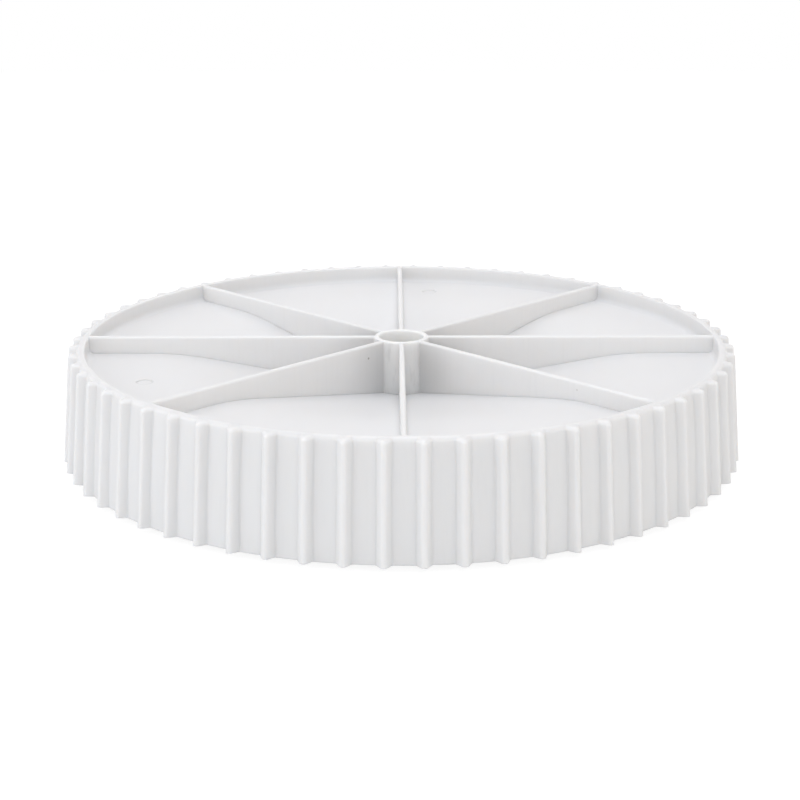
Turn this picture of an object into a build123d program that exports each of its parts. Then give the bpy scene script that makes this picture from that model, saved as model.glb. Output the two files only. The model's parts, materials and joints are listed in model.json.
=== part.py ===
"""Lazy susan turntable: a beaded, compartmented tray turning on a ball bearing base.

Millimetres. +Z is up along the turning axis and Z = 0 is the table under the feet.
"""
import os
from math import asin, atan2, cos, hypot, pi, sin, sqrt, tan

from build123d import *

# Tray, overall
tray_diameter = 305.0
tray_height = 49.1
skirt_gap = 2.5

# Rim wall: it leans inward towards the top and is slightly barrelled
wall_thickness = 3.4
wall_lean = 4.4
wall_bulge = 0.45
rim_outer_rounding = 2.0
rim_inner_rounding = 0.5

# Upright beads around the rim wall
bead_count = 62
bead_height = 3.6
bead_width = 6.2
bead_tip_radius = 1.6
bead_top_rounding = 1.5
bead_top_drop = 0.25
bead_root = 2.0
bead_root_fillet = 0.8

# Dished floor: a flat ring by the rim, then a straight cone down to the hub
floor_depth = 7.9
hub_floor_depth = 24.2
floor_thickness = 2.4
floor_knee_radius = 100.0
floor_knee_rounding = 140.0
floor_cove = 2.5

# Webs between the compartments
web_count = 8
web_thickness = 2.3
web_rounding = 1.05

# Hub tube in the middle of the tray, with a plug socket above the washer pocket
hub_radius = 12.2
hub_rounding = 0.7
socket_radius = 10.0
socket_depth = 15.0
washer_pocket_radius = 9.3
washer_pocket_depth = 7.0
hub_plate_thickness = 3.0

# Ejector pin marks in the floor
ejector_count = 3
ejector_radius = 3.6
ejector_depth = 0.3
ejector_circle_radius = 119.0
ejector_angle = 82.6

# Ball bearing
track_radius = 62.0
ball_count = 18
ball_radius = 4.0
ball_clearance = 0.25
track_face_gap = 3.6
track_width = 12.0
tray_track_thickness = 5.2
tray_track_web = 2.5
cage_thickness = 2.0
cage_width = 14.0
cage_clearance = 0.25

# Base moulding
base_radius = 110.0
base_foot_height = 2.0
base_plate_thickness = 3.0
base_edge_rounding = 1.0
base_track_height = 5.2
base_rib_thickness = 1.8
base_rib_height = 2.5
inner_rib_count = 12
outer_rib_count = 24
post_radius = 6.0
post_clearance = 0.1
gusset_count = 6
gusset_thickness = 2.0
gusset_reach = 12.0
gusset_height = 14.0
gusset_toe = 1.5

# Washers and screw on the post
slip_washer_thickness = 1.0
axial_play = 0.15
washer_thickness = 1.5
washer_side_clearance = 0.5
screw_shank_radius = 2.4
screw_length = 14.0
screw_clearance = 0.05
washer_hole_clearance = 0.3
screw_head_radius = 4.8
screw_head_height = 3.4
screw_head_rounding = 1.2
drive_width = 1.2
drive_span = 5.2
drive_depth = 1.8

# Rubber feet
foot_count = 6
foot_inset = 18.0
foot_radius = 8.0
foot_clearance = 0.1
foot_seat_depth = 1.5
foot_chamfer = 0.6
foot_boss_wall = 2.4
foot_boss_height = 1.5

# Heights and radii that follow from the sizes above
foot_z = skirt_gap
rim_z = skirt_gap + tray_height
floor_z = rim_z - floor_depth
hub_floor_z = rim_z - hub_floor_depth
wall_foot_radius = tray_diameter / 2 - bead_height
wall_top_radius = wall_foot_radius - wall_lean
rim_inner_radius = wall_top_radius - wall_thickness
socket_z = rim_z - socket_depth
hub_plate_top_z = socket_z - washer_pocket_depth
hub_plate_bottom_z = hub_plate_top_z - hub_plate_thickness
groove_radius = ball_radius + ball_clearance
groove_half_width = sqrt(groove_radius**2 - (track_face_gap / 2) ** 2)
plate_top_z = base_foot_height + base_plate_thickness
plate_middle_z = base_foot_height + base_plate_thickness / 2
base_track_z = plate_top_z + base_track_height
ball_centre_height = base_track_z + track_face_gap / 2
tray_track_z = ball_centre_height + track_face_gap / 2
post_top_z = hub_plate_top_z + slip_washer_thickness + axial_play
washer_top_z = post_top_z + washer_thickness
foot_top_z = base_foot_height + foot_seat_depth
foot_circle_radius = base_radius - foot_inset
floor_slope = (floor_z - hub_floor_z) / (floor_knee_radius - hub_radius)

os.makedirs("parts", exist_ok=True)


def save(piece, name):
    """Label a finished piece and write it under its name."""
    piece.part.label = name
    export_step(piece.part, f"parts/{name}.step")


def corner(sketch, x, y):
    """The sketch's corner nearest to a point."""
    return sketch.vertices().sort_by_distance((x, y, 0))[0]


def mid_radius(edge):
    """Distance of an edge's middle from the turning axis."""
    middle = edge @ 0.5
    return hypot(middle.X, middle.Y)


def floor_top(radius):
    """Height of the floor's cone at a radius."""
    return hub_floor_z + floor_slope * (radius - hub_radius)


# One bead: a rounded V that leans with the wall, rounded over at its top
bead_flank_length = sqrt((bead_width / 2) ** 2 + (bead_height - bead_tip_radius) ** 2 - bead_tip_radius**2)
bead_flank_angle = atan2(bead_height - bead_tip_radius, bead_width / 2) + asin(
    bead_tip_radius / hypot(bead_width / 2, bead_height - bead_tip_radius)
)
flank_end_x = wall_foot_radius + bead_flank_length * sin(bead_flank_angle)
flank_end_y = bead_width / 2 - bead_flank_length * cos(bead_flank_angle)
root_x = wall_foot_radius - bead_root
root_y = bead_width / 2 + bead_root / tan(bead_flank_angle)
bead_length = tray_height - bead_top_drop
bead_lean = wall_lean * bead_length / tray_height
with BuildPart() as bead:
    with BuildSketch(Plane.XY.offset(foot_z)):
        with BuildLine():
            Line((root_x, -root_y), (flank_end_x, -flank_end_y))
            ThreePointArc((flank_end_x, -flank_end_y), (tray_diameter / 2, 0), (flank_end_x, flank_end_y))
            Polyline((flank_end_x, flank_end_y), (root_x, root_y), (root_x, -root_y))
        make_face()
    extrude(amount=hypot(bead_lean, bead_length), dir=(-bead_lean, 0, bead_length))
    bead_top_edges = bead.faces().sort_by(Axis.Z)[-1].edges().sort_by(Axis.X)[1:]
    fillet(bead_top_edges, bead_top_rounding)

# One web: a plate on the floor from the hub to the rim, its top edges softened
web_inner_radius = (socket_radius + hub_radius) / 2
web_outer_radius = rim_inner_radius + (wall_thickness + rim_inner_rounding - rim_outer_rounding) / 2
web_sink = floor_thickness / 2
with BuildPart() as web:
    with BuildSketch(Plane.XZ):
        with BuildLine():
            Polyline(
                (web_inner_radius, rim_z),
                (web_outer_radius, rim_z),
                (web_outer_radius, floor_z - web_sink),
                (floor_knee_radius, floor_z - web_sink),
                (web_inner_radius, floor_top(web_inner_radius) - web_sink),
                close=True,
            )
        make_face()
    extrude(amount=web_thickness / 2, both=True)
    fillet(web.edges().filter_by(Axis.X).group_by(Axis.Z)[-1], web_rounding)

# Tray: rim wall and floor, hub, ball track, webs, beads and ejector marks
floor_inner_radius = web_inner_radius
under_z = floor_z - floor_thickness
skirt_top_radius = wall_foot_radius - wall_lean * (under_z - foot_z) / tray_height - wall_thickness
wall_middle = (wall_foot_radius + wall_top_radius) / 2 + wall_bulge
track_inner = track_radius - track_width / 2
track_outer = track_radius + track_width / 2
track_back_z = tray_track_z + tray_track_thickness
with BuildPart() as tray:
    with BuildSketch(Plane.XZ) as bowl_section:
        with BuildLine():
            Polyline(
                (wall_top_radius, rim_z),
                (rim_inner_radius, rim_z),
                (rim_inner_radius, floor_z),
                (floor_knee_radius, floor_z),
                (floor_inner_radius, floor_top(floor_inner_radius)),
                (floor_inner_radius, floor_top(floor_inner_radius) - floor_thickness),
                (floor_knee_radius, under_z),
                (skirt_top_radius, under_z),
                (wall_foot_radius - wall_thickness, foot_z),
                (wall_foot_radius, foot_z),
            )
            ThreePointArc(
                (wall_foot_radius, foot_z),
                (wall_middle, foot_z + tray_height / 2),
                (wall_top_radius, rim_z),
            )
        make_face()
        fillet(corner(bowl_section, wall_top_radius, rim_z), rim_outer_rounding)
        fillet(corner(bowl_section, rim_inner_radius, rim_z), rim_inner_rounding)
        fillet(corner(bowl_section, rim_inner_radius, floor_z), floor_cove)
        floor_knees = [corner(bowl_section, floor_knee_radius, height) for height in (floor_z, under_z)]
        fillet(floor_knees, floor_knee_rounding)
    revolve(axis=Axis.Z)
    with BuildSketch(Plane.XZ) as hub_section:
        with BuildLine():
            Polyline(
                (socket_radius, rim_z),
                (hub_radius, rim_z),
                (hub_radius, hub_plate_bottom_z),
                (post_radius + post_clearance, hub_plate_bottom_z),
                (post_radius + post_clearance, hub_plate_top_z),
                (washer_pocket_radius, hub_plate_top_z),
                (washer_pocket_radius, socket_z),
                (socket_radius, socket_z),
                close=True,
            )
        make_face()
        fillet(
            [corner(hub_section, socket_radius, rim_z), corner(hub_section, hub_radius, rim_z)],
            hub_rounding,
        )
    revolve(axis=Axis.Z)
    with BuildSketch(Plane.XZ):
        with BuildLine():
            Polyline(
                (track_radius - groove_half_width, tray_track_z),
                (track_inner, tray_track_z),
                (track_inner, track_back_z),
                (track_radius - tray_track_web / 2, track_back_z),
                (track_radius - tray_track_web / 2, floor_top(track_radius) - web_sink),
                (track_radius + tray_track_web / 2, floor_top(track_radius) - web_sink),
                (track_radius + tray_track_web / 2, track_back_z),
                (track_outer, track_back_z),
                (track_outer, tray_track_z),
                (track_radius + groove_half_width, tray_track_z),
            )
            ThreePointArc(
                (track_radius + groove_half_width, tray_track_z),
                (track_radius, ball_centre_height + groove_radius),
                (track_radius - groove_half_width, tray_track_z),
            )
        make_face()
    revolve(axis=Axis.Z)
    with PolarLocations(0, web_count):
        add(web.part)
    with PolarLocations(0, bead_count):
        add(bead.part)
    bead_roots = (
        tray.edges()
        .filter_by(lambda edge: edge.bounding_box().size.Z > tray_height / 2)
        .filter_by(lambda edge: mid_radius(edge) > wall_middle - wall_thickness / 2)
        .sort_by(mid_radius)[: 2 * bead_count]
    )
    fillet(bead_roots, bead_root_fillet)
    with BuildSketch(Plane.XY.offset(floor_z)):
        with PolarLocations(ejector_circle_radius, ejector_count, start_angle=ejector_angle):
            Circle(ejector_radius)
    extrude(amount=-ejector_depth, mode=Mode.SUBTRACT)
save(tray, "tray")

# Base: flat plate with a ribbed top, ball track, post with gussets, and foot bosses
foot_boss_radius = foot_radius + foot_clearance + foot_boss_wall
gusset_end = post_radius + gusset_reach
edge_rib_radius = base_radius - base_rib_thickness / 2
with BuildPart() as base:
    with BuildSketch(Plane.XY.offset(base_foot_height)):
        Circle(base_radius)
    extrude(amount=base_plate_thickness)
    fillet(base.faces().sort_by(Axis.Z)[0].edges(), base_edge_rounding)
    with BuildSketch(Plane.XY.offset(plate_middle_z)):
        Circle(base_radius)
        Circle(base_radius - base_rib_thickness, mode=Mode.SUBTRACT)
        with PolarLocations((gusset_end + track_radius) / 2, inner_rib_count):
            Rectangle(track_radius - gusset_end, base_rib_thickness)
        with PolarLocations((track_radius + edge_rib_radius) / 2, outer_rib_count):
            Rectangle(edge_rib_radius - track_radius, base_rib_thickness)
    extrude(amount=base_plate_thickness / 2 + base_rib_height)
    with BuildSketch(Plane.XZ):
        with BuildLine():
            Polyline(
                (track_radius - groove_half_width, base_track_z),
                (track_inner, base_track_z),
                (track_inner, plate_middle_z),
                (track_outer, plate_middle_z),
                (track_outer, base_track_z),
                (track_radius + groove_half_width, base_track_z),
            )
            ThreePointArc(
                (track_radius + groove_half_width, base_track_z),
                (track_radius, ball_centre_height - groove_radius),
                (track_radius - groove_half_width, base_track_z),
            )
        make_face()
    revolve(axis=Axis.Z)
    with BuildSketch(Plane.XY.offset(plate_middle_z)):
        Circle(post_radius)
    extrude(amount=post_top_z - plate_middle_z)
    for number in range(gusset_count):
        angle = 2 * pi * number / gusset_count
        across = (sin(angle), -cos(angle), 0)
        with BuildSketch(Plane((0, 0, 0), x_dir=(cos(angle), sin(angle), 0), z_dir=across)):
            with BuildLine():
                Polyline(
                    (post_radius / 2, plate_middle_z),
                    (gusset_end, plate_middle_z),
                    (gusset_end, plate_top_z + gusset_toe),
                    (post_radius, plate_top_z + gusset_height),
                    (post_radius / 2, plate_top_z + gusset_height),
                    close=True,
                )
            make_face()
        extrude(amount=gusset_thickness / 2, both=True)
    with BuildSketch(Plane.XY.offset(plate_middle_z)):
        with PolarLocations(foot_circle_radius, foot_count):
            Circle(foot_boss_radius)
    extrude(amount=base_plate_thickness / 2 + foot_boss_height)
    with BuildSketch(Plane.XY.offset(base_foot_height)):
        with PolarLocations(foot_circle_radius, foot_count):
            Circle(foot_radius + foot_clearance)
    extrude(amount=foot_seat_depth, mode=Mode.SUBTRACT)
    with BuildSketch(Plane.XY.offset(post_top_z)):
        Circle(screw_shank_radius + screw_clearance)
    extrude(amount=-screw_length, mode=Mode.SUBTRACT)
save(base, "base")

# Ball cage: a flat ring with a round pocket for each ball
with BuildPart() as ball_cage:
    with BuildSketch(Plane.XY.offset(ball_centre_height - cage_thickness / 2)):
        Circle(track_radius + cage_width / 2)
        Circle(track_radius - cage_width / 2, mode=Mode.SUBTRACT)
        with PolarLocations(track_radius, ball_count):
            Circle(ball_radius + cage_clearance, mode=Mode.SUBTRACT)
    extrude(amount=cage_thickness)
save(ball_cage, "ball_cage")

# Balls
for number in range(ball_count):
    angle = 2 * pi * number / ball_count
    ball_centre = (track_radius * cos(angle), track_radius * sin(angle), ball_centre_height)
    with BuildPart(Plane(ball_centre)) as ball:
        Sphere(ball_radius)
    save(ball, f"ball_{number + 1:02d}")

# Nylon slip washer around the post, on the hub plate
with BuildPart() as slip_washer:
    with BuildSketch(Plane.XY.offset(hub_plate_top_z)):
        Circle(washer_pocket_radius - washer_side_clearance)
        Circle(post_radius + post_clearance, mode=Mode.SUBTRACT)
    extrude(amount=slip_washer_thickness)
save(slip_washer, "slip_washer")

# Steel washer clamped on the post's end
with BuildPart() as retaining_washer:
    with BuildSketch(Plane.XY.offset(post_top_z)):
        Circle(washer_pocket_radius - washer_side_clearance)
        Circle(screw_shank_radius + washer_hole_clearance, mode=Mode.SUBTRACT)
    extrude(amount=washer_thickness)
save(retaining_washer, "retaining_washer")

# Pan head screw with a cross recess
with BuildPart() as retaining_screw:
    with BuildSketch(Plane.XY.offset(washer_top_z)):
        Circle(screw_head_radius)
    extrude(amount=screw_head_height)
    fillet(retaining_screw.faces().sort_by(Axis.Z)[-1].edges(), screw_head_rounding)
    with BuildSketch(Plane.XY.offset(washer_top_z)):
        Circle(screw_shank_radius)
    extrude(amount=-screw_length - washer_thickness + screw_shank_radius)
    with BuildSketch(Plane.XY.offset(washer_top_z + screw_head_height)):
        Rectangle(drive_span, drive_width)
        Rectangle(drive_width, drive_span)
    extrude(amount=-drive_depth, mode=Mode.SUBTRACT)
save(retaining_screw, "retaining_screw")

# Rubber feet, seated in the base's bosses
for number in range(foot_count):
    angle = 2 * pi * number / foot_count
    foot_centre = (foot_circle_radius * cos(angle), foot_circle_radius * sin(angle), 0)
    with BuildPart() as foot:
        with BuildSketch(Plane(foot_centre)):
            Circle(foot_radius)
        extrude(amount=foot_top_z)
        chamfer(foot.faces().sort_by(Axis.Z)[0].edges(), foot_chamfer)
    save(foot, f"foot_{number + 1}")
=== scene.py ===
"""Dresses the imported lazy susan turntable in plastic, bearing steel, nylon, zinc and rubber finishes."""
import json
import math

import bpy
from bpy.props import FloatProperty, FloatVectorProperty, PointerProperty
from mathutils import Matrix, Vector


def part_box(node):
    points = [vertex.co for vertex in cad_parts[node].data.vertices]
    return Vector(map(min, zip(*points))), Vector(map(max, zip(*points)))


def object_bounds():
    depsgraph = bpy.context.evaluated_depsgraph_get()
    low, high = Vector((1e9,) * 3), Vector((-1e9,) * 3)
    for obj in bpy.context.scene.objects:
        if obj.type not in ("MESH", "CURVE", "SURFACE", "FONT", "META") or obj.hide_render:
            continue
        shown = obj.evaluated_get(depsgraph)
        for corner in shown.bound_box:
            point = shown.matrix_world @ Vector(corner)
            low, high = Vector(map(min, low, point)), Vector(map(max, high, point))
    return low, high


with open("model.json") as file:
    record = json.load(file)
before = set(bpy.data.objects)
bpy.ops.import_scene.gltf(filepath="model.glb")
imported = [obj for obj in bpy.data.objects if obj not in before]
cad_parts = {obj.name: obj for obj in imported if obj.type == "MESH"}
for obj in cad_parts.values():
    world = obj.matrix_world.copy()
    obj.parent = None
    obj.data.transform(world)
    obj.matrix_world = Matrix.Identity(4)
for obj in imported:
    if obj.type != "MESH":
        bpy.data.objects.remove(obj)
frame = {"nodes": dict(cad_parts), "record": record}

bl_info = {
    "name": "Lazy susan finishes",
    "version": (1, 0, 0),
    "blender": (4, 5, 0),
    "location": "3D View > Sidebar > Lazy Susan",
    "description": "Procedural finishes and a studio for a lazy susan turntable",
    "category": "Material",
}

CAD_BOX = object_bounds()
RECORD = frame["record"]
BODIES = RECORD["behaviour"]["bodies"]
MM = 0.001
PIN_COUNT = 3
BEVEL_SAMPLES = 6
SENSOR_WIDTH_MM = 36.0
WHITE = (1, 1, 1)
BLACK = (0, 0, 0)
ORIGIN = (0, 0, 0)


def slot_colour(slot):
    """The record's colour of a material slot."""
    return next(entry["base_color"][:3] for entry in RECORD["materials"] if entry["slot"] == slot)


def colour_prop(name, default, description):
    """A colour that the user can change."""
    return FloatVectorProperty(
        name=name, description=description, subtype="COLOR", size=3, min=0, max=1, default=default
    )


def tint_prop(name, tint, description):
    """Three factors for the parts of a colour that the user can change."""
    return FloatVectorProperty(name=name, description=description, size=3, min=0, default=tint)


def length_prop(name, metres, description):
    """A length that the user can change."""
    return FloatProperty(
        name=name,
        description=description,
        unit="LENGTH",
        subtype="DISTANCE",
        min=0,
        precision=5,
        default=metres,
    )


def share_prop(name, default, description):
    """A share from 0 to 1 that the user can change."""
    return FloatProperty(
        name=name, description=description, subtype="FACTOR", min=0, max=1, default=default
    )


def amount_prop(name, default, description, least=0):
    """A plain number that the user can change."""
    return FloatProperty(name=name, description=description, min=least, default=default)


def power_prop(name, watts, description):
    """A lamp's power that the user can change."""
    return FloatProperty(name=name, description=description, unit="POWER", min=0, default=watts)


def place_prop(name, place, description):
    """A place that the user can change, in metres."""
    return FloatVectorProperty(
        name=name, description=description, unit="LENGTH", subtype="TRANSLATION", size=3, default=place
    )


def angle_prop(name, degrees, description):
    """An angle that the user can change."""
    return FloatProperty(name=name, description=description, subtype="ANGLE", default=math.radians(degrees))


class TrayFinish(bpy.types.PropertyGroup):
    """White moulded plastic of the tray, with the marks that moulding and use leave, painted light on the
    hub and painted shade beside the hub, on the tops and at the ejector marks.
    """

    colour: colour_prop("Colour", (0.79, 0.79, 0.79), "Colour of the tray's plastic")
    scatter_depth: length_prop("Scatter depth", 2.6 * MM, "How far light spreads inside the plastic")
    scatter_colour: colour_prop("Scatter colour", (1.0, 0.95, 0.9), "How far each colour spreads")
    shade_swing: share_prop("Shade swing", 0.008, "How much the shade drifts across the moulding")
    shade_size: length_prop("Shade size", 60 * MM, "Size of the drifting shades")
    shade_gloss: share_prop("Shade gloss", 0.06, "How much the roughness drifts with the shade")
    roughness: share_prop("Roughness", 0.4, "Roughness of the satin skin")
    grain_size: length_prop("Grain size", 0.45 * MM, "Size of the mould's fine texture")
    grain_height: length_prop("Grain height", 0.003 * MM, "Height of the mould's fine texture")
    grain_gloss: share_prop("Grain gloss", 0.08, "How much the roughness varies with that texture")
    draw_size: length_prop("Draw mark size", 1.3 * MM, "Spacing of the upright marks on the walls")
    draw_length: amount_prop("Draw mark length", 25, "Length of a draw mark over its spacing", least=1)
    draw_shade: share_prop("Draw mark shade", 0.06, "How dark the draw marks are on upright walls")
    draw_gloss: share_prop("Draw mark gloss", 0.06, "How much the roughness varies with the draw marks")
    pin_circle: length_prop("Pin circle", 119 * MM, "Radius of the circle that the ejector marks are on")
    pin_angle: angle_prop("Pin angle", 82.6, "Angle of the first ejector mark")
    pin_radius: length_prop("Pin radius", 3.4 * MM, "Radius of an ejector mark's edge")
    # The ejector lines are partly the pins' witness lines and partly painted shade at the edges of the
    # ejector recesses.
    pin_line: length_prop("Pin line", 0.8 * MM, "Half width of the soft line round an ejector mark")
    pin_shade: share_prop("Pin shade", 0.17, "How dark that line is")
    # Painted light: the bore colour is a lighter colour painted on the hub's bore and, in part, on the
    # hub's outside, standing in for light there.
    bore_painted_light: colour_prop("Bore colour", (0.9, 0.9, 0.89), "Lighter colour of the hub's polished bore")
    bore_edge: length_prop("Bore edge", 11 * MM, "Radius within which the hub has that colour")
    painted_light_on_hub: share_prop("Hub light", 0.4, "How far the hub's outside takes that colour")
    hub_edge: length_prop("Hub edge", 12.6 * MM, "Radius where the webs leave the hub")
    # Painted shade: the webs are darkened beside the hub, most at the hub and less further out.
    painted_shade_reach: length_prop("Hub reach", 22 * MM, "How far from the hub the webs are dulled")
    web_painted_shade: share_prop("Hub shade", 0.12, "How dull the webs are beside the hub")
    streak_size: length_prop("Streak size", 2.2 * MM, "Width of the faint streaks of dirt on the hub")
    streak_length: amount_prop("Streak length", 5, "Length of a streak over its width", least=1)
    streak_shade: share_prop("Streak shade", 0.6, "How dark those streaks are")
    # Painted shade: the tops of the rim and webs are darkened near the rim plane.
    top_shade_depth: length_prop("Handled depth", 1.5 * MM, "How far below the rim plane handling dulls")
    top_painted_shade: share_prop("Handled shade", 0.045, "How dull the tops of the rim and webs are")
    speck_colour: colour_prop("Speck colour", (0.3, 0.28, 0.25), "Colour of the dark specks")
    web_speck: place_prop("Web speck", (-14.67 * MM, -16.3 * MM, 45.5 * MM), "Speck on the web by the hub")
    web_speck_size: length_prop("Web speck size", 0.5 * MM, "Radius of the speck by the hub")
    web_speck_shade: share_prop("Web speck shade", 0.7, "How dark the speck by the hub is")
    far_speck: place_prop("Far speck", (71.6 * MM, -73.2 * MM, 48.1 * MM), "Speck far out on the next web")
    far_speck_size: length_prop("Far speck size", 0.4 * MM, "Radius of the speck far out")
    far_speck_shade: share_prop("Far speck shade", 0.3, "How dark the speck far out is")
    fleck_size: length_prop("Fleck size", 0.3 * MM, "Radius of the faint flecks all over")
    fleck_spacing: length_prop("Fleck spacing", 25 * MM, "Spacing of the places where a fleck can be")
    fleck_share: share_prop("Fleck share", 0.1, "Share of those places that hold a fleck")
    fleck_shade: share_prop("Fleck shade", 0.15, "How dark a fleck is")


class BaseFinish(bpy.types.PropertyGroup):
    """Duller plastic of the base."""

    colour: colour_prop("Colour", slot_colour("base_plastic"), "Colour of the base's plastic")
    shade_swing: share_prop("Shade swing", 0.03, "How much the shade drifts across the moulding")
    shade_size: length_prop("Shade size", 35 * MM, "Size of the drifting shades")
    roughness: share_prop("Roughness", 0.55, "Roughness of the dull skin")
    grain_size: length_prop("Grain size", 0.7 * MM, "Size of the mould's texture")
    grain_height: length_prop("Grain height", 0.012 * MM, "Height of the mould's texture")
    grain_gloss: share_prop("Grain gloss", 0.15, "How much the roughness varies with that texture")
    edge: length_prop("Edge", 0.4 * MM, "Radius that softens the moulded edges")


class BearingFinish(bpy.types.PropertyGroup):
    """Polished balls and their nylon cage."""

    ball_colour: colour_prop("Ball steel", slot_colour("ball_steel"), "Colour of the balls")
    ball_roughness: share_prop("Ball roughness", 0.1, "Roughness of the balls")
    mark_size: length_prop("Mark size", 0.35 * MM, "Size of the rolling marks on the balls")
    mark_height: length_prop("Mark height", 0.0008 * MM, "Height of the rolling marks")
    mark_gloss: share_prop("Mark gloss", 0.06, "How much rougher the rolling marks are")
    stain_size: length_prop("Stain size", 2.5 * MM, "Size of the faint stains on the balls")
    stain_shade: share_prop("Stain shade", 0.06, "How dark the stains are")
    stain_gloss: share_prop("Stain gloss", 0.05, "How much the roughness varies with the stains")
    cage_colour: colour_prop("Cage nylon", slot_colour("cage_nylon"), "Colour of the ball cage")
    cage_roughness: share_prop("Cage roughness", 0.5, "Roughness of the ball cage")
    mottle_size: length_prop("Mottle size", 6 * MM, "Size of the mottles on the cage")
    mottle_dark: share_prop("Mottle dark", 0.07, "How much darker the dark mottles are")
    mottle_light: share_prop("Mottle light", 0.05, "How much lighter the light mottles are")
    mottle_gloss: share_prop("Mottle gloss", 0.2, "How much the roughness varies with the mottles")
    grain_size: length_prop("Grain size", 0.5 * MM, "Size of the cage's texture")
    grain_height: length_prop("Grain height", 0.01 * MM, "Height of the cage's texture")
    cage_edge: length_prop("Cage edge", 0.2 * MM, "Radius that softens the cage's edges")


class FixingFinish(bpy.types.PropertyGroup):
    """Zinc plated screw and washer, and the nylon slip washer."""

    zinc_colour: colour_prop("Zinc", slot_colour("zinc_steel"), "Colour of the plating")
    zinc_roughness: share_prop("Zinc roughness", 0.32, "Roughness of the plating")
    warm_tint: tint_prop("Warm tint", (1.04, 1.0, 0.94), "Tint of the plating's warm patches")
    cool_tint: tint_prop("Cool tint", (0.94, 1.0, 1.08), "Tint of the plating's cool bloom")
    bloom_size: length_prop("Bloom size", 3 * MM, "Size of the patches")
    bloom_gloss: share_prop("Bloom gloss", 0.1, "How much the roughness varies with the patches")
    grit_size: length_prop("Grit size", 0.25 * MM, "Size of the stamped texture")
    grit_height: length_prop("Grit height", 0.006 * MM, "Height of the stamped texture")
    grit_gloss: share_prop("Grit gloss", 0.2, "How much the roughness varies with that texture")
    zinc_edge: length_prop("Zinc edge", 0.15 * MM, "Radius that softens the plated edges")
    nylon_colour: colour_prop("Slip washer", slot_colour("slip_nylon"), "Colour of the slip washer")
    nylon_roughness: share_prop("Slip washer roughness", 0.45, "Roughness of the slip washer")
    ring_size: length_prop("Ring size", 0.2 * MM, "Spacing of the slip washer's turning marks")
    ring_height: length_prop("Ring height", 0.008 * MM, "Height of the turning marks")
    ring_dark: share_prop("Ring dark", 0.05, "How much darker the dark turning marks are")
    ring_light: share_prop("Ring light", 0.04, "How much lighter the light turning marks are")
    ring_gloss: share_prop("Ring gloss", 0.2, "How much the roughness varies with the turning marks")
    nylon_edge: length_prop("Slip washer edge", 0.15 * MM, "Radius that softens the slip washer's edges")


class FootFinish(bpy.types.PropertyGroup):
    """Soft rubber of the feet."""

    colour: colour_prop("Colour", slot_colour("foot_rubber"), "Colour of the rubber")
    roughness: share_prop("Roughness", 0.82, "Roughness of the rubber")
    grain_size: length_prop("Grain size", 0.9 * MM, "Size of the rubber's pebbled texture")
    grain_height: length_prop("Grain height", 0.03 * MM, "Height of the rubber's pebbled texture")
    dust_size: length_prop("Dust size", 5 * MM, "Size of the dusty patches")
    dust_dark: share_prop("Dust dark", 0.15, "How much darker the clean patches are")
    dust_light: share_prop("Dust light", 0.35, "How much lighter the dusty patches are")
    dust_gloss: share_prop("Dust gloss", 0.15, "How much the roughness varies with the dust")
    edge: length_prop("Edge", 0.2 * MM, "Radius that softens the edges")


class StudioSetup(bpy.types.PropertyGroup):
    """Floor, lamps and camera."""

    floor_size: length_prop("Floor size", 3.2, "Side of the square floor")
    floor_colour: colour_prop("Floor colour", (0.9, 0.9, 0.9), "Colour of the floor under the lamps")
    floor_roughness: share_prop("Floor roughness", 0.9, "Roughness of the floor")
    floor_glow: share_prop("Floor glow", 0.8, "How far the camera sees the floor as plain white")
    floor_white: amount_prop("Floor white", 1.12, "Strength of that white")
    room_light: amount_prop("Room light", 0.53, "Strength of the even light")
    room_colour: colour_prop("Room colour", (1.0, 0.95, 0.93), "Colour of the even light")
    room_white: amount_prop("Room white", 1.0, "Strength of the white that the camera sees around")
    top_power: power_prop("Top power", 6.6, "Power of the lamp above")
    top_colour: colour_prop("Top colour", (0.86, 0.91, 1.0), "Colour of the lamp above")
    top_size: length_prop("Top size", 0.5, "Side of the lamp above")
    top_place: place_prop("Top place", (0.0, 0.0, 1.5), "Place of the lamp above")
    rear_power: power_prop("Rear power", 3.0, "Power of the lamp above the back")
    rear_colour: colour_prop("Rear colour", WHITE, "Colour of the lamp above the back")
    rear_size: length_prop("Rear size", 0.8, "Side of the lamp above the back")
    rear_place: place_prop("Rear place", (0.0, 0.9, 1.2), "Place of the lamp above the back")
    front_power: power_prop("Front power", 4.3, "Power of the lamp below the camera")
    front_colour: colour_prop("Front colour", (0.92, 0.97, 1.0), "Colour of the lamp below the camera")
    front_size: length_prop("Front size", 0.8, "Side of the lamp below the camera")
    front_place: place_prop("Front place", (0.0, -1.4, 0.45), "Place of the lamp below the camera")
    left_power: power_prop("Left power", 4.4, "Power of the lamp on the left")
    left_colour: colour_prop("Left colour", (0.9, 0.95, 1.0), "Colour of the lamp on the left")
    left_size: length_prop("Left size", 0.9, "Side of the lamp on the left")
    left_place: place_prop("Left place", (-1.2, -0.45, 0.45), "Place of the lamp on the left")
    right_power: power_prop("Right power", 2.1, "Power of the lamp on the right")
    right_colour: colour_prop("Right colour", (1.0, 0.99, 0.92), "Colour of the lamp on the right")
    right_size: length_prop("Right size", 0.9, "Side of the lamp on the right")
    right_place: place_prop("Right place", (1.2, -0.45, 0.45), "Place of the lamp on the right")
    camera_distance: length_prop("Camera distance", 758 * MM, "Distance from the tray's foot centre")
    camera_elevation: angle_prop("Camera elevation", 18.657, "Height angle of the camera's place")
    camera_azimuth: angle_prop("Camera azimuth", -0.389, "Turn of the camera about the turning axis")
    camera_pitch: angle_prop("Camera pitch", 17.314, "Downward tilt of the camera")
    camera_aside: angle_prop("Camera aside", 0.051, "Sideways aim of the camera")
    camera_lens: amount_prop("Lens", 73.96, "Focal length in millimetres", least=1)


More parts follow.
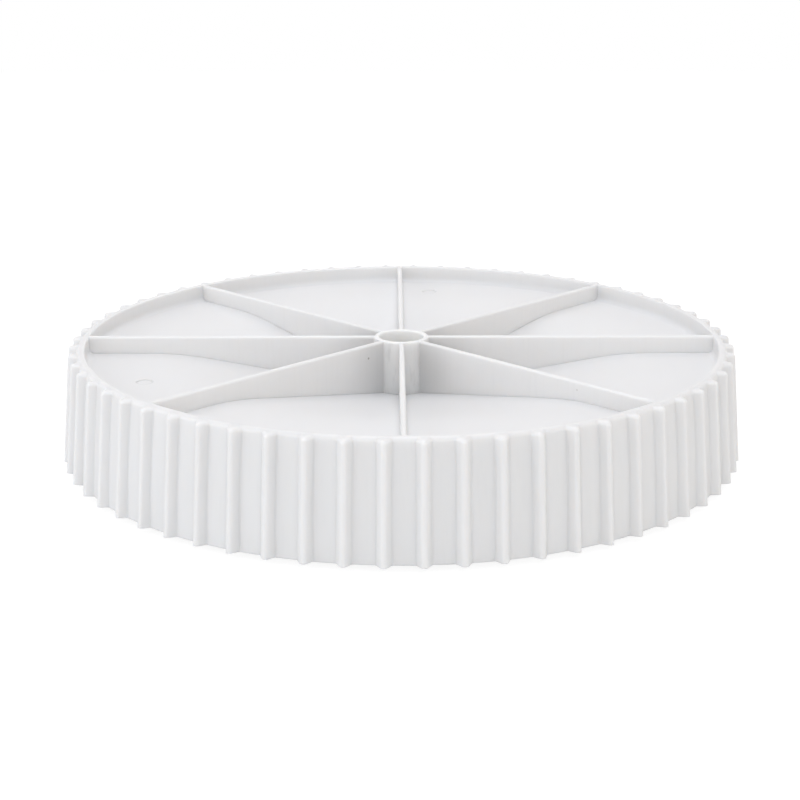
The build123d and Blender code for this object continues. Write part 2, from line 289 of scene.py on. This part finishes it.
def shaded(colour, factor):
    """A colour made lighter or darker."""
    return tuple(min(1.0, part * factor) for part in colour)


def tinted(colour, tint):
    """A colour with each part scaled by a tint."""
    return tuple(part * factor for part, factor in zip(colour, tint))


class Signal:
    """A socket of a shader. Arithmetic on it adds Math nodes."""

    def __init__(self, shader, socket):
        self.shader = shader
        self.socket = socket

    def math(self, operation, first, second):
        """One Math node on two values."""
        return self.shader.node("ShaderNodeMath", {"operation": operation}, {0: first, 1: second})

    def __add__(self, other):
        return self.math("ADD", self, other)

    __radd__ = __add__

    def __sub__(self, other):
        return self.math("SUBTRACT", self, other)

    def __rsub__(self, other):
        return self.math("SUBTRACT", other, self)

    def __mul__(self, other):
        return self.math("MULTIPLY", self, other)

    __rmul__ = __mul__

    def __truediv__(self, other):
        return self.math("DIVIDE", self, other)

    def __rtruediv__(self, other):
        return self.math("DIVIDE", other, self)

    def __lt__(self, other):
        return self.math("LESS_THAN", self, other)

    def __gt__(self, other):
        return self.math("GREATER_THAN", self, other)

    def size(self):
        """The value without its sign."""
        return self.math("ABSOLUTE", self, 0)

    def positive(self):
        """The value, or 0 where it is negative."""
        return self.math("MAXIMUM", self, 0)

    def larger(self, other):
        """The larger of two values."""
        return self.math("MAXIMUM", self, other)

    def centred(self):
        """A value from 0 to 1, moved to lie about 0."""
        return self - 0.5


class Shader:
    """The node tree of a material or a world."""

    def __init__(self, owner):
        self.tree = owner.node_tree

    def node(self, kind, settings=None, inputs=None, output=0):
        """Adds a node: its settings first, then the values or links of its sockets. Gives one output."""
        made = self.tree.nodes.new(kind)
        for key, value in (settings or {}).items():
            setattr(made, key, value)
        for key, value in (inputs or {}).items():
            self.feed(made.inputs[key], value)
        return Signal(self, made.outputs[output])

    def feed(self, socket, value):
        """Links a signal to a socket, or sets a plain value on it."""
        if isinstance(value, Signal):
            self.tree.links.new(value.socket, socket)
        elif socket.type == "RGBA" and len(value) == 3:
            socket.default_value = (*value, 1)
        else:
            socket.default_value = value

    def plain_view(self):
        """1 for rays of the camera, of reflections and through glass, 0 for the light on things."""
        seen = self.node("ShaderNodeLightPath", output="Is Camera Ray")
        mirrored = self.node("ShaderNodeLightPath", output="Is Glossy Ray")
        through = self.node("ShaderNodeLightPath", output="Is Transmission Ray")
        return seen.larger(mirrored).larger(through)

    def place(self):
        """Where a point is on the object, in metres."""
        return self.node("ShaderNodeTexCoord", output="Object")

    def height(self, place):
        """How high a place is, in metres."""
        return self.node("ShaderNodeSeparateXYZ", None, {0: place}, "Z")

    def noise(self, place, size, detail=2.0, roughness=0.5):
        """Soft noise from 0 to 1 with features of about a size in metres."""
        inputs = {"Vector": place, "Scale": 1 / size, "Detail": detail, "Roughness": roughness}
        return self.node("ShaderNodeTexNoise", None, inputs)

    def scaled(self, vector, factors):
        """A vector with each part scaled."""
        return self.node("ShaderNodeVectorMath", {"operation": "MULTIPLY"}, {0: vector, 1: factors})

    def drawn_out(self, place, length):
        """Places for a noise whose features are that many times as tall as they are wide."""
        return self.scaled(place, (1, 1, 1 / length))

    def apart(self, first, second):
        """Distance between two places in metres."""
        return self.node("ShaderNodeVectorMath", {"operation": "DISTANCE"}, {0: first, 1: second}, "Value")

    def seen_flat(self, place):
        """A place brought down to the ground plane."""
        return self.scaled(place, (1, 1, 0))

    def facing_up(self):
        """1 on a face that looks up, 0 on an upright one, -1 on one that looks down."""
        normal = self.node("ShaderNodeNewGeometry", output="Normal")
        return self.node("ShaderNodeSeparateXYZ", None, {0: normal}, "Z")

    def mix(self, share, first, second):
        """A colour between two colours."""
        return self.node("ShaderNodeMix", {"data_type": "RGBA"}, {0: share, 6: first, 7: second}, 2)

    def toned(self, share, colour, dark, light):
        """A colour that goes from darker at share 0 to lighter at share 1."""
        return self.mix(share, shaded(colour, 1 - dark), shaded(colour, 1 + light))

    def bump(self, height, tall, softening=None):
        """A normal from a height from 0 to 1 that stands tall metres, on softened edges if asked."""
        inputs = {"Height": height, "Strength": 1.0, "Distance": tall}
        if softening:
            settings = {"samples": BEVEL_SAMPLES}
            inputs["Normal"] = self.node("ShaderNodeBevel", settings, {"Radius": softening})
        return self.node("ShaderNodeBump", None, inputs)


class Finish(Shader):
    """A material's node tree, built round one Principled surface."""

    def __init__(self, name):
        self.material = bpy.data.materials.new(name)
        self.material.use_nodes = True
        super().__init__(self.material)
        self.surface = self.tree.nodes["Principled BSDF"]
        self.result = self.tree.nodes["Material Output"]

    def set(self, **values):
        """Sets or links sockets of the Principled surface, by name with _ for spaces."""
        for key, value in values.items():
            self.feed(self.surface.inputs[key.replace("_", " ")], value)


def dress(nodes, shader):
    """Puts a finish on CAD nodes."""
    for name in nodes:
        mesh = frame["nodes"][name].data
        mesh.materials.clear()
        mesh.materials.append(shader.material)


def ejector_lines_and_shade(shader, look, place):
    """Soft round lines at the edges of the ejector marks, from 0 to 1: the pins' witness lines, darkened
    further as painted shade at the recess edges.
    """
    flat = shader.seen_flat(place)
    lines = []
    for turn in range(PIN_COUNT):
        angle = look.pin_angle + math.tau * turn / PIN_COUNT
        middle = (look.pin_circle * math.cos(angle), look.pin_circle * math.sin(angle), 0)
        # each ring is partly a witness line and partly painted shade of the recess edge
        off_line = (shader.apart(flat, middle) - look.pin_radius).size()
        lines.append((1 - off_line / look.pin_line).positive())
    return sum(lines) * shader.facing_up().positive()


def specks(shader, look, place):
    """Two dark specks at their places and faint flecks all over, from 0 to 1."""
    web = shader.apart(place, tuple(look.web_speck)) < look.web_speck_size
    far = shader.apart(place, tuple(look.far_speck)) < look.far_speck_size
    cell = {"Vector": place, "Scale": 1 / look.fleck_spacing, "Randomness": 1.0}
    nearest = shader.node("ShaderNodeTexVoronoi", {"feature": "F1"}, cell, "Distance")
    lot = shader.node("ShaderNodeTexVoronoi", {"feature": "F1"}, cell, "Color")
    draw = shader.node("ShaderNodeSeparateColor", None, {"Color": lot}, "Red")
    fleck = (nearest < look.fleck_size / look.fleck_spacing) * (draw < look.fleck_share)
    return web * look.web_speck_shade + far * look.far_speck_shade + fleck * look.fleck_shade


def wall_marks_and_shade(shader, look, place, radius, on_hub, drawn):
    """Darker tones of upright walls, from 0 to 1: draw marks, painted shade on the webs beside the hub, and
    dirt on the hub.
    """
    # painted shade on the webs, darkest at the hub and fading over the reach
    painted_shade_by_hub = (1 - (radius - look.hub_edge) / look.painted_shade_reach).positive() * (radius > look.hub_edge)
    streaks = shader.noise(shader.drawn_out(place, look.streak_length), look.streak_size, detail=4.0)
    dirt = streaks.centred().positive() * on_hub * look.streak_shade
    # dull adds the draw marks, the painted shade beside the hub and the dirt streaks
    dull = drawn.centred().positive() * look.draw_shade + painted_shade_by_hub * look.web_painted_shade + dirt
    return dull * (1 - shader.facing_up().size())


def painted_shade_tops(shader, look, place):
    """1 on the tops of the rim and webs, 0 elsewhere; the mask of the painted shade on those tops."""
    # painted shade: the tops of the rim and webs are made darker
    near_rim_plane = shader.height(place) > CAD_BOX[1].z - look.top_shade_depth
    return near_rim_plane * shader.facing_up().positive()


def tray_plastic(look):
    """Satin white plastic that light sinks into, with painted light on the hub and its bore, painted shade
    beside the hub, on the tops of the rim and webs and at the ejector marks, and marks of moulding and
    dirt.
    """
    shader = Finish("tray_plastic")
    place = shader.place()
    radius = shader.apart(shader.seen_flat(place), ORIGIN)
    on_hub = (radius > look.bore_edge) * (radius < look.hub_edge)
    drift = shader.noise(place, look.shade_size, detail=3.0)
    grain = shader.noise(place, look.grain_size, detail=3.0, roughness=0.6)
    drawn = shader.noise(shader.drawn_out(place, look.draw_length), look.draw_size, detail=3.0)
    plain = shader.toned(drift, look.colour, look.shade_swing, look.shade_swing)
    # painted light: the bore, and the hub's outside in part, take the lighter bore colour
    lighter = (radius < look.bore_edge) + on_hub * look.painted_light_on_hub
    moulded = shader.mix(lighter, plain, tuple(look.bore_painted_light))
    # marks hold the painted shade beside the hub, on the tops and at the ejector edges, with the draw marks
    # and dirt streaks
    marks = (
        wall_marks_and_shade(shader, look, place, radius, on_hub, drawn)
        + ejector_lines_and_shade(shader, look, place) * look.pin_shade
        + painted_shade_tops(shader, look, place) * look.top_painted_shade
    )
    marked_and_shaded = shader.mix(marks, moulded, BLACK)
    gloss = (
        grain.centred() * look.grain_gloss
        + drift.centred() * look.shade_gloss
        + drawn.centred() * look.draw_gloss
    )
    shader.set(
        Base_Color=shader.mix(specks(shader, look, place), marked_and_shaded, tuple(look.speck_colour)),
        Roughness=look.roughness + gloss,
        Normal=shader.bump(grain, look.grain_height),
        Subsurface_Weight=1.0,
        Subsurface_Radius=tuple(look.scatter_colour),
        Subsurface_Scale=look.scatter_depth,
    )
    return shader


def base_plastic(look):
    """Duller plastic with a coarser skin."""
    shader = Finish("base_plastic")
    place = shader.place()
    drift = shader.noise(place, look.shade_size, detail=4.0)
    grain = shader.noise(place, look.grain_size, detail=3.0, roughness=0.65)
    shader.set(
        Base_Color=shader.toned(drift, look.colour, look.shade_swing, look.shade_swing),
        Roughness=look.roughness + grain.centred() * look.grain_gloss,
        Normal=shader.bump(grain, look.grain_height, look.edge),
    )
    return shader


def ball_steel(look):
    """Polished bearing steel with faint rolling marks."""
    shader = Finish("ball_steel")
    place = shader.place()
    marks = shader.noise(place, look.mark_size, detail=2.0)
    stain = shader.noise(place, look.stain_size, detail=3.0)
    shader.set(
        Base_Color=shader.toned(stain, look.ball_colour, look.stain_shade, 0),
        Metallic=1.0,
        Roughness=look.ball_roughness + marks * look.mark_gloss + stain * look.stain_gloss,
        Normal=shader.bump(marks, look.mark_height),
    )
    return shader


def cage_nylon(look):
    """Plain nylon with a mottled, slightly waxy skin."""
    shader = Finish("cage_nylon")
    place = shader.place()
    mottle = shader.noise(place, look.mottle_size, detail=4.0)
    grain = shader.noise(place, look.grain_size, detail=2.0)
    shader.set(
        Base_Color=shader.toned(mottle, look.cage_colour, look.mottle_dark, look.mottle_light),
        Roughness=look.cage_roughness + mottle.centred() * look.mottle_gloss,
        Normal=shader.bump(grain, look.grain_height, look.cage_edge),
    )
    return shader


def slip_nylon(look):
    """Cream nylon washer with turning marks."""
    shader = Finish("slip_nylon")
    distance = shader.apart(shader.place(), ORIGIN)
    rings = shader.node(
        "ShaderNodeTexNoise", {"noise_dimensions": "1D"}, {"W": distance, "Scale": 1 / look.ring_size}
    )
    shader.set(
        Base_Color=shader.toned(rings, look.nylon_colour, look.ring_dark, look.ring_light),
        Roughness=look.nylon_roughness + rings.centred() * look.ring_gloss,
        Normal=shader.bump(rings, look.ring_height, look.nylon_edge),
    )
    return shader


def zinc_steel(look):
    """Bright zinc plating with a cool bloom and stamped texture."""
    shader = Finish("zinc_steel")
    place = shader.place()
    bloom = shader.noise(place, look.bloom_size, detail=3.0)
    grit = shader.noise(place, look.grit_size, detail=3.0, roughness=0.6)
    warm = tinted(look.zinc_colour, look.warm_tint)
    cool = tinted(look.zinc_colour, look.cool_tint)
    gloss = grit.centred() * look.grit_gloss + bloom.centred() * look.bloom_gloss
    shader.set(
        Base_Color=shader.mix(bloom, warm, cool),
        Metallic=1.0,
        Roughness=look.zinc_roughness + gloss,
        Normal=shader.bump(grit, look.grit_height, look.zinc_edge),
    )
    return shader


def foot_rubber(look):
    """Dull rubber with a pebbled, slightly dusty skin."""
    shader = Finish("foot_rubber")
    place = shader.place()
    dust = shader.noise(place, look.dust_size, detail=4.0)
    cell = {"Vector": place, "Scale": 1 / look.grain_size}
    pebble = shader.node("ShaderNodeTexVoronoi", {"feature": "SMOOTH_F1"}, cell, "Distance")
    shader.set(
        Base_Color=shader.toned(dust, look.colour, look.dust_dark, look.dust_light),
        Roughness=look.roughness + dust.centred() * look.dust_gloss,
        Normal=shader.bump(pebble, look.grain_height, look.edge),
    )
    return shader


def named(body, start):
    """The nodes of a body whose names begin with a word."""
    return [name for name in BODIES[body] if name.startswith(start)]


class SUSAN_OT_tray(bpy.types.Operator):
    """Dress the tray in satin white plastic"""

    bl_idname = "susan.tray"
    bl_label = "Dress the tray"

    def execute(self, context):
        dress(["tray"], tray_plastic(context.scene.susan_tray))
        return {"FINISHED"}


class SUSAN_OT_base(bpy.types.Operator):
    """Dress the base in duller plastic"""

    bl_idname = "susan.base"
    bl_label = "Dress the base"

    def execute(self, context):
        dress(["base"], base_plastic(context.scene.susan_base))
        return {"FINISHED"}


class SUSAN_OT_bearing(bpy.types.Operator):
    """Dress the balls in polished steel and their cage in nylon"""

    bl_idname = "susan.bearing"
    bl_label = "Dress the bearing"

    def execute(self, context):
        look = context.scene.susan_bearing
        cage = "ball_cage"
        dress([name for name in BODIES["bearing"] if name != cage], ball_steel(look))
        dress([cage], cage_nylon(look))
        return {"FINISHED"}


class SUSAN_OT_fixings(bpy.types.Operator):
    """Dress the screw and its washer in zinc, and the slip washer in nylon"""

    bl_idname = "susan.fixings"
    bl_label = "Dress the fixings"

    def execute(self, context):
        look = context.scene.susan_fixings
        dress(named("base", "retaining"), zinc_steel(look))
        dress(["slip_washer"], slip_nylon(look))
        return {"FINISHED"}


class SUSAN_OT_feet(bpy.types.Operator):
    """Dress the feet in rubber"""

    bl_idname = "susan.feet"
    bl_label = "Dress the feet"

    def execute(self, context):
        dress(named("base", "foot"), foot_rubber(context.scene.susan_feet))
        return {"FINISHED"}


def studio_floor(setup):
    """A plain pale floor that the camera sees as nearly white, with the object's soft shadow."""
    half = setup.floor_size / 2
    corners = [(-half, -half, 0), (half, -half, 0), (half, half, 0), (-half, half, 0)]
    mesh = bpy.data.meshes.new("studio_floor")
    mesh.from_pydata(corners, [], [(0, 1, 2, 3)])
    floor = bpy.data.objects.new("studio_floor", mesh)
    bpy.context.scene.collection.objects.link(floor)
    shader = Finish("studio_floor")
    shader.set(Base_Color=tuple(setup.floor_colour), Roughness=setup.floor_roughness)
    glow = shader.node("ShaderNodeEmission", None, {"Color": WHITE, "Strength": setup.floor_white})
    lit = Signal(shader, shader.surface.outputs[0])
    share = shader.plain_view() * setup.floor_glow
    both = shader.node("ShaderNodeMixShader", None, {0: share, 1: lit, 2: glow})
    shader.feed(shader.result.inputs["Surface"], both)
    mesh.materials.append(shader.material)


def studio_world(setup):
    """Even room light that the camera and the reflections see as white."""
    world = bpy.data.worlds.new("studio_world")
    bpy.context.scene.world = world
    world.use_nodes = True
    shader = Shader(world)
    even = {"Color": tuple(setup.room_colour), "Strength": setup.room_light}
    room = shader.node("ShaderNodeBackground", None, even)
    white = shader.node("ShaderNodeBackground", None, {"Color": WHITE, "Strength": setup.room_white})
    both = shader.node("ShaderNodeMixShader", None, {0: shader.plain_view(), 1: room, 2: white})
    shader.feed(shader.tree.nodes["World Output"].inputs["Surface"], both)


def studio_lamp(name, power, colour, size, place):
    """A square soft lamp aimed at the middle of the turntable."""
    light = bpy.data.lights.new(name, "AREA")
    light.energy = power
    light.color = colour
    light.size = size
    lamp = bpy.data.objects.new(name, light)
    lamp.location = place
    middle = (CAD_BOX[0] + CAD_BOX[1]) / 2
    lamp.rotation_euler = (middle - Vector(place)).to_track_quat("-Z", "Y").to_euler()
    bpy.context.scene.collection.objects.link(lamp)


def studio_camera(setup):
    """The camera at the photograph's place and tilt."""
    data = bpy.data.cameras.new("studio_camera")
    data.lens = setup.camera_lens
    data.sensor_width = SENSOR_WIDTH_MM
    camera = bpy.data.objects.new("studio_camera", data)
    foot_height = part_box("tray")[0].z
    reach = setup.camera_distance * math.cos(setup.camera_elevation)
    camera.location = (
        reach * math.sin(setup.camera_azimuth),
        -reach * math.cos(setup.camera_azimuth),
        foot_height + setup.camera_distance * math.sin(setup.camera_elevation),
    )
    camera.rotation_euler = (
        math.pi / 2 - setup.camera_pitch,
        0,
        setup.camera_azimuth + setup.camera_aside,
    )
    bpy.context.scene.collection.objects.link(camera)
    bpy.context.scene.camera = camera


class SUSAN_OT_studio(bpy.types.Operator):
    """Set the floor, the lamps and the camera"""

    bl_idname = "susan.studio"
    bl_label = "Set the studio"

    def execute(self, context):
        setup = context.scene.susan_studio
        context.scene.view_settings.view_transform = "Standard"
        studio_floor(setup)
        studio_world(setup)
        for side in ("top", "rear", "front", "left", "right"):
            values = [getattr(setup, f"{side}_{key}") for key in ("power", "colour", "size", "place")]
            studio_lamp(f"{side}_lamp", *values)
        studio_camera(setup)
        return {"FINISHED"}


STEPS = (
    SUSAN_OT_tray,
    SUSAN_OT_base,
    SUSAN_OT_bearing,
    SUSAN_OT_fixings,
    SUSAN_OT_feet,
    SUSAN_OT_studio,
)
LOOKS = {
    "susan_tray": TrayFinish,
    "susan_base": BaseFinish,
    "susan_bearing": BearingFinish,
    "susan_fixings": FixingFinish,
    "susan_feet": FootFinish,
    "susan_studio": StudioSetup,
}


class SUSAN_PT_panel(bpy.types.Panel):
    """Lists the steps and their settings"""

    bl_idname = "SUSAN_PT_panel"
    bl_label = "Lazy Susan"
    bl_space_type = "VIEW_3D"
    bl_region_type = "UI"
    bl_category = "Lazy Susan"

    def draw(self, context):
        for step, look in zip(STEPS, LOOKS):
            part = self.layout.box()
            part.operator(step.bl_idname)
            for key in LOOKS[look].__annotations__:
                part.prop(getattr(context.scene, look), key)


def register():
    """Makes the settings, the steps and the panel known."""
    for name, group in LOOKS.items():
        bpy.utils.register_class(group)
        setattr(bpy.types.Scene, name, PointerProperty(type=group))
    for step in (*STEPS, SUSAN_PT_panel):
        bpy.utils.register_class(step)


def unregister():
    """Takes everything back out."""
    for step in (SUSAN_PT_panel, *reversed(STEPS)):
        bpy.utils.unregister_class(step)
    for name, group in reversed(LOOKS.items()):
        delattr(bpy.types.Scene, name)
        bpy.utils.unregister_class(group)


def main():
    """Runs every step in order."""
    register()
    for step in STEPS:
        group, action = step.bl_idname.split(".")
        getattr(getattr(bpy.ops, group), action)()


if __name__ == "__main__":
    main()
